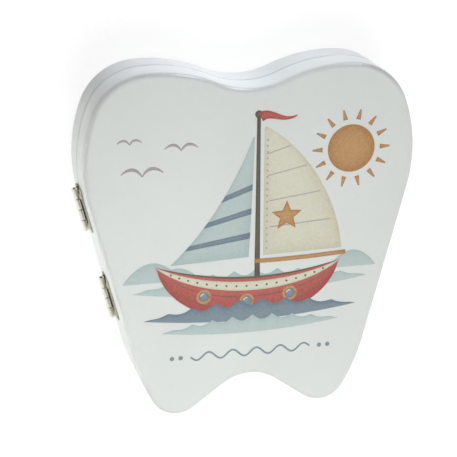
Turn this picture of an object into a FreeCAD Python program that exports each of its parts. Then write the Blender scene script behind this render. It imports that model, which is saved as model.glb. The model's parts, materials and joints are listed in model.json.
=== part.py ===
import FreeCAD, Part
import math
import os

import Sketcher
from FreeCAD import Placement, Rotation, Vector

# Keepsake box for milk teeth, shaped like a molar and lying on its back: +X to the right and +Y to the
# crown as seen from the front, +Z out of the front face. The origin is under the middle of the back.

# Driving dimensions in millimetres, angles in degrees
SIZES = {
    # Tooth outline, measured from the root tips and from the middle line
    "tooth_height": 120.0,
    "lobe_centre_x": 31.8,
    "lobe_radius": 50.1,
    "crown_dip_radius": 28.45,
    "corner_radius": 20.2,
    "corner_angle": 4.5,
    "shoulder_radius": 51.9,
    "shoulder_angle": 20.2,
    "flare_radius": 66.9,
    "flare_angle": 30.2,
    "root_centre_x": 25.45,
    "root_radius": 9.55,
    "fork_height": 12.55,
    "fork_radius": 15.3,
    # Boards
    "core_thickness": 9.0,
    "skin_thickness": 3.0,
    "seam_gap": 0.3,
    "outer_edge_radius": 1.8,
    "seam_edge_radius": 0.5,
    # Pockets for the teeth, on an oval ring around a well for keepsakes
    "pocket_diameter": 9.0,
    "ring_half_width": 38.0,
    "ring_half_height": 33.0,
    "well_end_radius": 23.0,
    "well_end_x": 6.0,
    # Closing magnets, opposite the hinges
    "magnet_diameter": 6.0,
    "magnet_thickness": 2.0,
    "magnet_clearance": 0.05,
    "magnet_edge_distance": 5.0,
    # Hinges
    "upper_hinge_height": 73.0,
    "lower_hinge_height": 41.1,
    "leaf_length": 15.2,
    "leaf_reach": 5.2,
    "leaf_thickness": 0.5,
    "leaf_corner_radius": 1.0,
    "barrel_length": 15.2,
    "knuckle_side_gap": 0.25,
    "knuckle_stand_off": 0.55,
    "knuckle_relief": 0.6,
    "pin_diameter": 0.9,
    "pin_clearance": 0.04,
    "pin_overhang": 0.25,
    "pin_chamfer": 0.15,
    # Nails that hold the leaves
    "nail_spread": 10.6,
    "nail_reach": 3.4,
    "nail_diameter": 1.2,
    "nail_clearance": 0.02,
    "nail_hole_clearance": 0.1,
    "nail_depth": 5.5,
    "nail_point": 1.5,
    "nail_head_diameter": 2.6,
    "nail_head_height": 0.5,
}
POCKET_COUNT = 20
KNUCKLE_COUNT = 4

doc = FreeCAD.newDocument("tooth_box")
sheet = doc.addObject("Spreadsheet::Sheet", "sizes")
for row, (alias, number) in enumerate(SIZES.items(), start=1):
    sheet.set(f"A{row}", alias)
    sheet.set(f"B{row}", str(number))
    sheet.setAlias(f"B{row}", alias)
doc.recompute()


class Size:
    """A number together with the sheet expression that gives it."""

    def __init__(self, number, text):
        self.number = float(number)
        self.text = text

    def combine(self, other, sign, number):
        return Size(number, f"({self.text} {sign} {as_size(other).text})")

    def __add__(self, other):
        return self.combine(other, "+", self.number + as_size(other).number)

    def __sub__(self, other):
        return self.combine(other, "-", self.number - as_size(other).number)

    def __mul__(self, other):
        return self.combine(other, "*", self.number * as_size(other).number)

    def __truediv__(self, other):
        return self.combine(other, "/", self.number / as_size(other).number)


def as_size(value):
    return value if isinstance(value, Size) else Size(value, repr(float(value)))


def size(alias):
    """The sheet's cell of this name."""
    return Size(sheet.get(alias), f"sizes.{alias}")


def sine(angle):
    return Size(math.sin(math.radians(angle.number)), f"sin({angle.text})")


def cosine(angle):
    return Size(math.cos(math.radians(angle.number)), f"cos({angle.text})")


def square_root(value):
    return Size(math.sqrt(value.number), f"sqrt({value.text})")


def bind(feature, field, value):
    feature.setExpression(field, value.text)


# Sizes that follow from the driving ones
core = size("core_thickness")
skin = size("skin_thickness")
half_gap = size("seam_gap") / 2
seam_level = skin + core + half_gap
lid_level = skin + core + size("seam_gap")
nail_radius = size("nail_diameter") / 2
pin_radius = size("pin_diameter") / 2
bore_radius = pin_radius + size("pin_clearance")
knuckle_radius = bore_radius + size("leaf_thickness")
axis_offset = knuckle_radius + size("knuckle_stand_off")
plate_start = knuckle_radius + size("knuckle_relief")
knuckle_pitch = size("barrel_length") / KNUCKLE_COUNT
knuckle_length = knuckle_pitch - size("knuckle_side_gap")
arc_reach = size("lobe_radius") + size("crown_dip_radius")
dip_rise = square_root(arc_reach * arc_reach - size("lobe_centre_x") * size("lobe_centre_x"))
dip_centre_y = size("tooth_height") - size("lobe_radius") + dip_rise
# The pockets lie midway between the crown's dip and the fork of the roots
ring_middle = (dip_centre_y - size("crown_dip_radius") + size("fork_height")) / 2


def point_on(centre, radius, angle):
    return centre + Vector(math.cos(angle), math.sin(angle), 0) * radius


def heading(vector):
    return math.atan2(vector.y, vector.x)


def tooth_curve():
    """Centres and joint angles of the right half of the outline, where each arc runs on from the last."""
    lobe_radius = sheet.lobe_radius
    lobe = Vector(sheet.lobe_centre_x, sheet.tooth_height - lobe_radius, 0)
    dip = Vector(0, dip_centre_y.number, 0)
    # The corner's angle is taken from the top of the lobe, the other angles from the X axis
    corner_angle = math.radians(90 - sheet.corner_angle)
    corner = point_on(lobe, lobe_radius - sheet.corner_radius, corner_angle)
    shoulder_angle = math.radians(sheet.shoulder_angle)
    shoulder = point_on(corner, sheet.corner_radius - sheet.shoulder_radius, shoulder_angle)
    root = Vector(sheet.root_centre_x, sheet.root_radius, 0)
    flare_angle = -math.radians(sheet.flare_angle)
    flare = point_on(root, sheet.root_radius - sheet.flare_radius, flare_angle)
    # The straight flank is the outer tangent of the shoulder and flare arcs
    run = shoulder - flare
    flank_angle = heading(run) - math.acos((sheet.flare_radius - sheet.shoulder_radius) / run.Length)
    # The slope into the fork is the inner tangent of the root and fork arcs
    fork = Vector(0, sheet.fork_height - sheet.fork_radius, 0)
    run = fork - root
    slope_angle = heading(run) + math.acos((sheet.root_radius + sheet.fork_radius) / run.Length)
    while slope_angle > flare_angle:
        slope_angle -= 2 * math.pi
    return {
        "dip": dip, "lobe": lobe, "corner": corner, "shoulder": shoulder,
        "flare": flare, "root": root, "fork": fork,
        "dip_angle": heading(lobe - dip), "lobe_angle": heading(dip - lobe), "corner_angle": corner_angle,
        "shoulder_angle": shoulder_angle, "flank_angle": flank_angle,
        "flare_angle": flare_angle, "slope_angle": slope_angle,
    }


curve = tooth_curve()
flank_top = point_on(curve["shoulder"], sheet.shoulder_radius, curve["flank_angle"])
flank_foot = point_on(curve["flare"], sheet.flare_radius, curve["flank_angle"])
flank_tilt = -math.degrees(curve["flank_angle"])


def flank_point(height):
    """The point of the right flank this far above the root tips."""
    share = (height - flank_foot.y) / (flank_top.y - flank_foot.y)
    return flank_foot + (flank_top - flank_foot) * share


def flank_frame(height, level):
    """A frame on the left flank: X out of the flank, Y along it to the roots, Z to the front."""
    spot = flank_point(height)
    return Placement(Vector(-spot.x, spot.y, level), Rotation(Vector(0, 0, 1), 180 + flank_tilt))


def in_box(placement):
    """Moves a frame from the outline, whose root tips are at zero, to the middle of the box."""
    return Placement(Vector(0, -sheet.tooth_height / 2, 0), Rotation()) * placement


def new_body(label, placement=Placement()):
    body = doc.addObject("PartDesign::Body", label)
    body.Label = label
    body.Placement = placement
    return body


def origin_part(body, role):
    return next(part for part in body.Origin.OriginFeatures if part.Role == role)


def new_sketch(body, name, plane, offset=Placement()):
    sketch = body.newObject("Sketcher::SketchObject", name)
    sketch.AttachmentSupport = [(origin_part(body, plane), "")]
    sketch.MapMode = "FlatFace"
    sketch.AttachmentOffset = offset
    return sketch


def fix(sketch, kind, places, value):
    """Adds a dimension to a sketch and binds it to the sheet."""
    index = sketch.addConstraint(Sketcher.Constraint(kind, *places, value.number))
    sketch.setExpression(f"Constraints[{index}]", value.text)


def fix_point(sketch, geometry, spot, x, y):
    """Sets a point's distances from the sketch's origin, or puts it on an axis."""
    for kind, axis, value in (("DistanceX", -2, as_size(x)), ("DistanceY", -1, as_size(y))):
        if value.number == 0:
            sketch.addConstraint(Sketcher.Constraint("PointOnObject", geometry, spot, axis))
        else:
            fix(sketch, kind, (-1, 1, geometry, spot), value)


def add_circle(sketch, x, y, radius):
    centre = Vector(as_size(x).number, as_size(y).number, 0)
    circle = sketch.addGeometry(Part.Circle(centre, Vector(0, 0, 1), radius.number))
    fix_point(sketch, circle, 3, x, y)
    fix(sketch, "Radius", (circle,), radius)


def add_polygon(sketch, corners):
    """Joins the corners by straight lines and fixes each corner."""
    spots = [Vector(as_size(x).number, as_size(y).number, 0) for x, y in corners]
    lines = []
    for start, end in zip(spots, spots[1:] + spots[:1]):
        lines.append(sketch.addGeometry(Part.LineSegment(start, end)))
    for line, following in zip(lines, lines[1:] + lines[:1]):
        sketch.addConstraint(Sketcher.Constraint("Coincident", line, 2, following, 1))
    for line, (x, y) in zip(lines, corners):
        fix_point(sketch, line, 1, x, y)


def add_arc(sketch, centre, radius, start, end):
    circle = Part.Circle(centre, Vector(0, 0, 1), radius)
    return sketch.addGeometry(Part.ArcOfCircle(circle, start, end))


def extrude(body, kind, name, sketch, length, **settings):
    """A pad or pocket of a sketch, of a length from the sheet."""
    feature = body.newObject(f"PartDesign::{kind}", name)
    feature.Profile = sketch
    for field, value in settings.items():
        setattr(feature, field, value)
    bind(feature, "Length", length)
    doc.recompute()
    return feature


def half_outline(body):
    """The right half of the tooth, closed along the middle line."""
    sketch = new_sketch(body, body.Name + "_half_outline", "XY_Plane")
    middle = math.pi / 2
    c = curve
    dip = add_arc(sketch, c["dip"], sheet.crown_dip_radius, -middle, c["dip_angle"])
    lobe = add_arc(sketch, c["lobe"], sheet.lobe_radius, c["corner_angle"], c["lobe_angle"])
    corner = add_arc(sketch, c["corner"], sheet.corner_radius, c["shoulder_angle"], c["corner_angle"])
    shoulder = add_arc(sketch, c["shoulder"], sheet.shoulder_radius, c["flank_angle"], c["shoulder_angle"])
    flank = sketch.addGeometry(Part.LineSegment(flank_top, flank_foot))
    flare = add_arc(sketch, c["flare"], sheet.flare_radius, c["flare_angle"], c["flank_angle"])
    root = add_arc(sketch, c["root"], sheet.root_radius, c["slope_angle"], c["flare_angle"])
    slope_top = point_on(c["fork"], sheet.fork_radius, c["slope_angle"] + math.pi)
    slope_foot = point_on(c["root"], sheet.root_radius, c["slope_angle"])
    slope = sketch.addGeometry(Part.LineSegment(slope_foot, slope_top))
    fork = add_arc(sketch, c["fork"], sheet.fork_radius, c["slope_angle"] + math.pi, middle)
    fork_middle = Vector(0, sheet.fork_height, 0)
    dip_middle = Vector(0, c["dip"].y - sheet.crown_dip_radius, 0)
    spine = sketch.addGeometry(Part.LineSegment(fork_middle, dip_middle))
    smooth_joints = [
        (dip, 2, lobe, 2), (lobe, 1, corner, 2), (corner, 1, shoulder, 2), (shoulder, 1, flank, 1),
        (flank, 2, flare, 2), (flare, 1, root, 2), (root, 1, slope, 1), (slope, 2, fork, 1),
    ]
    for joint in smooth_joints:
        sketch.addConstraint(Sketcher.Constraint("Tangent", *joint))
    sketch.addConstraint(Sketcher.Constraint("Coincident", fork, 2, spine, 1))
    sketch.addConstraint(Sketcher.Constraint("Coincident", spine, 2, dip, 1))
    middle_points = [(spine, 1), (spine, 2), (dip, 3), (fork, 3)]
    for point in middle_points:
        sketch.addConstraint(Sketcher.Constraint("PointOnObject", *point, -2))
    radii = {
        dip: "crown_dip_radius", lobe: "lobe_radius", corner: "corner_radius",
        shoulder: "shoulder_radius", flare: "flare_radius", root: "root_radius", fork: "fork_radius",
    }
    for arc, alias in radii.items():
        fix(sketch, "Radius", (arc,), size(alias))
    fix_point(sketch, lobe, 3, size("lobe_centre_x"), size("tooth_height") - size("lobe_radius"))
    fix_point(sketch, root, 3, size("root_centre_x"), size("root_radius"))
    fix(sketch, "DistanceY", (-1, 1, spine, 1), size("fork_height"))
    fix(sketch, "DistanceX", (lobe, 3, lobe, 1), size("lobe_radius") * sine(size("corner_angle")))
    fix(sketch, "DistanceY", (corner, 3, corner, 1), size("corner_radius") * sine(size("shoulder_angle")))
    fix(sketch, "DistanceY", (root, 2, root, 3), size("root_radius") * sine(size("flare_angle")))
    return sketch


def face_at(feature, level):
    """The name of the flat face that lies all at this level."""
    for index, face in enumerate(feature.Shape.Faces, start=1):
        box = face.BoundBox
        if max(abs(box.ZMin - level), abs(box.ZMax - level)) < 1e-6:
            return f"Face{index}"
    raise ValueError(f"no face at {level} on {feature.Name}")


def tooth_board(label, thickness, level, round_level, round_radius):
    """A board of the tooth's outline, with the edges of one face rounded."""
    body = new_body(label)
    bind(body, "Placement.Base.y", size("tooth_height") / -2)
    bind(body, "Placement.Base.z", level)
    pad = extrude(body, "Pad", label + "_half", half_outline(body), thickness)
    whole = body.newObject("PartDesign::Mirrored", label + "_whole")
    whole.Originals = [pad]
    whole.MirrorPlane = (origin_part(body, "YZ_Plane"), [""])
    whole.Refine = True
    body.Tip = whole
    doc.recompute()
    rounding = body.newObject("PartDesign::Fillet", label + "_rounding")
    rounding.Base = (whole, [face_at(whole, round_level.number)])
    bind(rounding, "Radius", round_radius)
    doc.recompute()
    return body


def pocket_centre(index):
    """Places the pockets evenly by angle, half a step off the middle line."""
    angle = as_size((index + 0.5) * 360 / POCKET_COUNT)
    x = size("ring_half_width") * cosine(angle)
    y = ring_middle + size("ring_half_height") * sine(angle)
    return x, y


def cut_pockets(body):
    sketch = new_sketch(body, "tooth_pockets", "XY_Plane")
    for index in range(POCKET_COUNT):
        x, y = pocket_centre(index)
        add_circle(sketch, x, y, size("pocket_diameter") / 2)
    extrude(body, "Pocket", "pocket_holes", sketch, core, Reversed=True)


def cut_well(body):
    """A slot with round ends through the middle of the board."""
    sketch = new_sketch(body, "well_slot", "XY_Plane")
    radius = size("well_end_radius")
    end_x = size("well_end_x")
    centre_y = ring_middle
    right_centre = Vector(end_x.number, centre_y.number, 0)
    left_centre = Vector(-end_x.number, centre_y.number, 0)
    quarter = math.pi / 2
    right = add_arc(sketch, right_centre, radius.number, -quarter, quarter)
    left = add_arc(sketch, left_centre, radius.number, quarter, 3 * quarter)
    rise = Vector(0, radius.number, 0)
    top = sketch.addGeometry(Part.LineSegment(right_centre + rise, left_centre + rise))
    bottom = sketch.addGeometry(Part.LineSegment(left_centre - rise, right_centre - rise))
    for joint in ((right, 2, top, 1), (top, 2, left, 1), (left, 2, bottom, 1), (bottom, 2, right, 1)):
        sketch.addConstraint(Sketcher.Constraint("Tangent", *joint))
    fix_point(sketch, right, 3, end_x, centre_y)
    fix_point(sketch, left, 3, end_x * -1, centre_y)
    fix(sketch, "Radius", (right,), radius)
    extrude(body, "Pocket", "well", sketch, core, Reversed=True)


def magnet_spot(height):
    """The middle of a magnet, set in from the right flank opposite a hinge."""
    inward = point_on(Vector(), -sheet.magnet_edge_distance, curve["flank_angle"])
    return flank_point(height) + inward


def cut_magnet_seats(body, level, downward):
    offset = Placement(Vector(0, 0, level), Rotation())
    sketch = new_sketch(body, body.Name + "_magnet_seats", "XY_Plane", offset)
    for height in HINGES.values():
        spot = magnet_spot(height)
        add_circle(sketch, spot.x, spot.y, size("magnet_diameter") / 2 + size("magnet_clearance"))
    depth = size("magnet_thickness") + size("magnet_clearance")
    extrude(body, "Pocket", body.Name + "_seats", sketch, depth, Reversed=not downward)


def cut_nail_holes(body, seam, side):
    """Nail holes into the left flank, two under each leaf; seam is the seam's level in the board."""
    sideways = Rotation(Vector(0, 1, 0), Vector(0, 0, 1), Vector(1, 0, 0), "XYZ")
    for hinge, height in HINGES.items():
        offset = flank_frame(height, seam.number) * Placement(Vector(), sideways)
        sketch = new_sketch(body, f"{body.Name}_{hinge}_nail_holes", "XY_Plane", offset)
        for end in (-1, 1):
            along = size("nail_spread") / 2 * end
            across = size("nail_reach") * side
            add_circle(sketch, along, across, nail_radius + size("nail_clearance"))
        depth = size("nail_depth") + size("nail_hole_clearance")
        extrude(body, "Pocket", f"{body.Name}_{hinge}_nails", sketch, depth)


def magnet(label, height, level):
    disc = doc.addObject("Part::Cylinder", label)
    disc.Label = label
    bind(disc, "Radius", size("magnet_diameter") / 2)
    bind(disc, "Height", size("magnet_thickness"))
    spot = magnet_spot(height)
    disc.Placement = in_box(Placement(Vector(spot.x, spot.y, level.number), Rotation()))
    return disc


def hinge_leaf(label, height, side, knuckles):
    """A stamped leaf with two rolled knuckles; side is -1 on the base and 1 on the lid."""
    body = new_body(label, in_box(flank_frame(height, seam_level.number)))
    half_length = size("leaf_length") / 2
    plate = new_sketch(body, label + "_plate_outline", "YZ_Plane")
    inner = plate_start * side
    outer = size("leaf_reach") * side
    ends = [half_length * -1, half_length]
    add_polygon(plate, [(ends[0], inner), (ends[1], inner), (ends[1], outer), (ends[0], outer)])
    extrude(body, "Pad", label + "_plate", plate, size("leaf_thickness"))
    # The first knuckle, and the bent tongue that carries it in front of the flank
    first, second = knuckles
    start = knuckle_pitch * first - size("barrel_length") / 2 + size("knuckle_side_gap") / 2
    knuckle_end = Placement(Vector(0, 0, -(start + knuckle_length).number), Rotation())
    tongue_outline = new_sketch(body, label + "_tongue_outline", "XZ_Plane", knuckle_end)
    bend = [(0, inner), (size("leaf_thickness"), inner), (axis_offset, knuckle_radius / 2 * side)]
    add_polygon(tongue_outline, bend + [(axis_offset, 0), (size("knuckle_stand_off"), 0)])
    tongue = extrude(body, "Pad", label + "_tongue", tongue_outline, knuckle_length)
    knuckle_circle = new_sketch(body, label + "_knuckle_circle", "XZ_Plane", knuckle_end)
    add_circle(knuckle_circle, axis_offset, 0, knuckle_radius)
    knuckle = extrude(body, "Pad", label + "_knuckle", knuckle_circle, knuckle_length)
    pair = body.newObject("PartDesign::LinearPattern", label + "_knuckle_pair")
    pair.Originals = [tongue, knuckle]
    pair.Direction = (origin_part(body, "Y_Axis"), [""])
    pair.Occurrences = 2
    bind(pair, "Length", knuckle_pitch * (second - first))
    body.Tip = pair
    doc.recompute()
    bore_circle = new_sketch(body, label + "_bore_circle", "XZ_Plane")
    add_circle(bore_circle, axis_offset, 0, bore_radius)
    extrude(body, "Pocket", label + "_bore", bore_circle, size("barrel_length"), Midplane=True)
    holes = new_sketch(body, label + "_nail_circles", "YZ_Plane")
    for end in (-1, 1):
        along = size("nail_spread") / 2 * end
        add_circle(holes, along, size("nail_reach") * side, nail_radius + size("nail_hole_clearance"))
    drilled = extrude(body, "Pocket", label + "_nail_holes", holes, size("leaf_thickness"), Reversed=True)
    corners = body.newObject("PartDesign::Fillet", label + "_corners")
    corners.Base = (drilled, corner_edges(drilled, outer.number))
    bind(corners, "Radius", size("leaf_corner_radius"))
    doc.recompute()
    return body


def corner_edges(feature, level):
    """The short edges through the plate at its outer corners."""
    names = []
    for index, edge in enumerate(feature.Shape.Edges, start=1):
        box = edge.BoundBox
        through = box.YLength < 1e-6 and box.ZLength < 1e-6
        if through and abs(box.ZMin - level) < 1e-6:
            names.append(f"Edge{index}")
    return names


def hinge_pin(label, height):
    body = new_body(label, in_box(flank_frame(height, seam_level.number)))
    circle = new_sketch(body, label + "_circle", "XZ_Plane")
    add_circle(circle, axis_offset, 0, pin_radius)
    length = size("barrel_length") + size("pin_overhang") * 2
    rod = extrude(body, "Pad", label + "_rod", circle, length, Midplane=True)
    ends = body.newObject("PartDesign::Chamfer", label + "_ends")
    round_edges = [
        f"Edge{index}" for index, edge in enumerate(rod.Shape.Edges, start=1)
        if isinstance(edge.Curve, Part.Circle)
    ]
    ends.Base = (rod, round_edges)
    bind(ends, "Size", size("pin_chamfer"))
    doc.recompute()
    return body


def nail(label, height, side, end):
    """A round-headed nail, turned about its own axis, which points out of the flank."""
    spot = Vector(0, sheet.nail_spread / 2 * end, sheet.nail_reach * side)
    frame = flank_frame(height, seam_level.number) * Placement(spot, Rotation())
    body = new_body(label, in_box(frame))
    sketch = new_sketch(body, label + "_profile", "XY_Plane")
    tip_x = size("nail_depth") * -1
    shank_x = size("nail_point") - size("nail_depth")
    seat_x = size("leaf_thickness")
    head_radius = size("nail_head_diameter") / 2
    head_height = size("nail_head_height")
    top_x = seat_x + head_height
    tip = Vector(tip_x.number, 0, 0)
    shank = Vector(shank_x.number, nail_radius.number, 0)
    neck = Vector(seat_x.number, nail_radius.number, 0)
    rim = Vector(seat_x.number, head_radius.number, 0)
    top = Vector(top_x.number, 0, 0)
    dome_radius = (head_radius.number ** 2 + head_height.number ** 2) / (2 * head_height.number)
    dome_centre = top - Vector(dome_radius, 0, 0)
    lines = []
    for start, finish in ((tip, shank), (shank, neck), (neck, rim), (top, tip)):
        lines.append(sketch.addGeometry(Part.LineSegment(start, finish)))
    point_line, shank_line, seat_line, axis_line = lines
    dome = add_arc(sketch, dome_centre, dome_radius, 0, heading(rim - dome_centre))
    joints = [
        (point_line, 2, shank_line, 1), (shank_line, 2, seat_line, 1), (seat_line, 2, dome, 2),
        (dome, 1, axis_line, 1), (axis_line, 2, point_line, 1),
    ]
    for joint in joints:
        sketch.addConstraint(Sketcher.Constraint("Coincident", *joint))
    sketch.addConstraint(Sketcher.Constraint("PointOnObject", dome, 3, -1))
    fix_point(sketch, point_line, 1, tip_x, 0)
    fix_point(sketch, shank_line, 1, shank_x, nail_radius)
    fix_point(sketch, shank_line, 2, seat_x, nail_radius)
    fix_point(sketch, seat_line, 2, seat_x, head_radius)
    fix_point(sketch, axis_line, 1, top_x, 0)
    turned = body.newObject("PartDesign::Revolution", label + "_turned")
    turned.Profile = sketch
    turned.ReferenceAxis = (sketch, ["H_Axis"])
    doc.recompute()
    return body


HINGES = {"upper": sheet.upper_hinge_height, "lower": sheet.lower_hinge_height}
SIDES = {"base": -1, "lid": 1}
# The places of each leaf's two knuckles, counted from the crown
KNUCKLES = {"base": (0, 3), "lid": (1, 2)}

parts = []

# Base half: back panel and the board with the pockets
seam_round = size("seam_edge_radius")
outer_round = size("outer_edge_radius")
nothing = as_size(0)
back_panel = tooth_board("back_panel", skin, nothing, nothing, outer_round)
pocket_board = tooth_board("pocket_board", core, skin, core, seam_round)
cut_pockets(pocket_board)
cut_well(pocket_board)
cut_magnet_seats(pocket_board, core.number, True)
cut_nail_holes(pocket_board, core + half_gap, SIDES["base"])

# Lid half: the core board that covers the pockets and the front panel
lid_core = tooth_board("lid_core", core, lid_level, nothing, seam_round)
cut_magnet_seats(lid_core, 0, False)
cut_nail_holes(lid_core, half_gap * -1, SIDES["lid"])
lid_panel = tooth_board("lid_panel", skin, lid_level + core, skin, outer_round)
parts += [back_panel, pocket_board, lid_core, lid_panel]

# Hinges, nails and magnets
for hinge, height in HINGES.items():
    parts.append(hinge_pin(f"{hinge}_hinge_pin", height))
    for half, side in SIDES.items():
        parts.append(hinge_leaf(f"{hinge}_{half}_leaf", height, side, KNUCKLES[half]))
        for end, place in ((-1, "crown"), (1, "root")):
            parts.append(nail(f"{hinge}_{half}_nail_{place}", height, side, end))
    seat = size("magnet_thickness") + size("magnet_clearance")
    parts.append(magnet(f"{hinge}_base_magnet", height, skin + core - seat))
    parts.append(magnet(f"{hinge}_lid_magnet", height, lid_level + size("magnet_clearance")))

doc.recompute()

# Every object has to be sound before anything is written
for item in doc.Objects:
    if "Invalid" in item.State or "Error" in item.State:
        raise RuntimeError(f"{item.Name} failed: {item.State}")
for part in parts:
    if part.Shape.isNull() or not part.Shape.isValid():
        raise RuntimeError(f"{part.Label} has no valid shape")

os.makedirs("parts", exist_ok=True)
for part in parts:
    part.Shape.exportStep(f"parts/{part.Label}.step")
    box = part.Shape.BoundBox
    print(
        f"{part.Label:24s} solids {len(part.Shape.Solids)} volume {part.Shape.Volume:10.2f}"
        f" x {box.XMin:7.2f} {box.XMax:7.2f} y {box.YMin:7.2f} {box.YMax:7.2f}"
        f" z {box.ZMin:6.2f} {box.ZMax:6.2f}"
    )
lower_hinge = in_box(flank_frame(HINGES["lower"], seam_level.number))
axis_point = lower_hinge.multVec(Vector(axis_offset.number, 0, 0))
axis_way = lower_hinge.Rotation.multVec(Vector(0, 1, 0))
print("lid axis through", axis_point, "along", axis_way)
print("middle of the pocket ring", ring_middle.number - sheet.tooth_height / 2)
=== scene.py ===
# %% [markdown]
# # A tooth-shaped keepsake box
#
# The object is a small wooden box for milk teeth. Two halves are sawn to the outline of a molar,
# painted white and joined by two little butt hinges; a picture is printed on the lid.
# The solids are already at their real size, so this lesson only gives them their looks.
# We load them as a fixed frame and build every new surface in the same metres and axes:
# the box lies on its back, X to its right, Y towards the crown and Z out of the lid.

# %% Load the frame
import json

import bmesh
import bpy
import numpy as np
from mathutils import Matrix, Vector
from mathutils.geometry import delaunay_2d_cdt


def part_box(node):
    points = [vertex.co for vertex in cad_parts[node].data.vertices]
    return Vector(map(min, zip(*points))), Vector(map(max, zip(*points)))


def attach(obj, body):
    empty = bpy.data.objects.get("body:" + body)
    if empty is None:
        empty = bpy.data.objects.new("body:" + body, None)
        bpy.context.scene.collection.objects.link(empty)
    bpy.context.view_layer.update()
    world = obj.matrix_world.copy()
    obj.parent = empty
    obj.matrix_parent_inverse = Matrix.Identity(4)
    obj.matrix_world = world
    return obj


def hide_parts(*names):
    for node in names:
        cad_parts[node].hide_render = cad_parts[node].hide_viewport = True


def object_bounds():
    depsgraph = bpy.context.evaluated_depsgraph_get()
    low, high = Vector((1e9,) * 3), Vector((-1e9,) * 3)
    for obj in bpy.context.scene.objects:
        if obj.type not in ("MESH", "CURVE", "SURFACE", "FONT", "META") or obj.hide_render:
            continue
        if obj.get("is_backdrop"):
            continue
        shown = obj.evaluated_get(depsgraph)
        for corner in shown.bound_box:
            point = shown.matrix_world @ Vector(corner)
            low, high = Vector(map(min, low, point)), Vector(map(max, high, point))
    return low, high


MM = 0.001
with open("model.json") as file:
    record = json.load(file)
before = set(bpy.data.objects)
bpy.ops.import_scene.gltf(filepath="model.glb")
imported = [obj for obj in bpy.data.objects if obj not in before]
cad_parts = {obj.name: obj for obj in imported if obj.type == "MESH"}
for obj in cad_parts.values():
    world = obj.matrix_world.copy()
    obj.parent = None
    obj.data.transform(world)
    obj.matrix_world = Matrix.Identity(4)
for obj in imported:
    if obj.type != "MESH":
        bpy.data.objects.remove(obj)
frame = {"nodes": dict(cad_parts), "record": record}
cad_low, cad_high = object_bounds()
print("solids:", len(frame["nodes"]), "box in mm:", [round(x / MM, 2) for x in cad_high - cad_low])

# %% [markdown]
# ## The outline of the tooth
#
# A sawn outline could be drawn as a Bezier curve, but the workshop's template is made of arcs that
# run into each other, and arcs give exact normals for the rounded edges later on.
# So the right half is a chain of arcs and two straight stretches, from the dip between the crown's
# lobes to the fork between the roots, and the left half is its mirror image.

# %% Arcs and straight stretches
OUTLINE_STEP, FEWEST_STEPS = 0.7 * MM, 6


def toward(angle):
    """The unit vector at an angle: its cosine and its sine."""
    return np.stack([np.cos(angle), np.sin(angle)], axis=-1)


def heading(vector):
    """The angle at which a vector points."""
    return np.arctan2(vector[1], vector[0])


def step_count(length):
    """The number of even steps along a stretch of that length."""
    return max(int(length / OUTLINE_STEP), FEWEST_STEPS)


def arc(centre, radius, start, end, side=1):
    """Points centre + radius (cos t, sin t) for t from start to end, and their normals.

    The normals point away from the centre, or towards it along a hollow, where side is -1.
    """
    ray = toward(np.linspace(start, end, step_count(abs(end - start) * radius) + 1))
    return centre + radius * ray, side * ray


def straight(start, end, angle):
    """Even points from start to end, which all have the normal at that angle."""
    share = np.linspace(0, 1, step_count(np.linalg.norm(end - start)) + 1)[:, None]
    return start + share * (end - start), np.repeat(toward(angle)[None], len(share), axis=0)


print("points on a quarter of a 10 mm circle:", len(arc(np.zeros(2), 10 * MM, 0, np.pi / 2)[0]))

# %% The closed outline
TOOTH_HEIGHT = 120 * MM
LOBE_X, LOBE_RADIUS = 31.8 * MM, 50.1 * MM
DIP_RADIUS, CORNER_RADIUS, SHOULDER_RADIUS = 28.45 * MM, 20.2 * MM, 51.9 * MM
CORNER_ANGLE, SHOULDER_ANGLE, FLARE_ANGLE = np.radians([85.5, 20.2, -30.2])
FLARE_RADIUS = 66.9 * MM
ROOT_X, ROOT_RADIUS = 25.45 * MM, 9.55 * MM
FORK_HEIGHT, FORK_RADIUS = 12.55 * MM, 15.3 * MM


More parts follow.
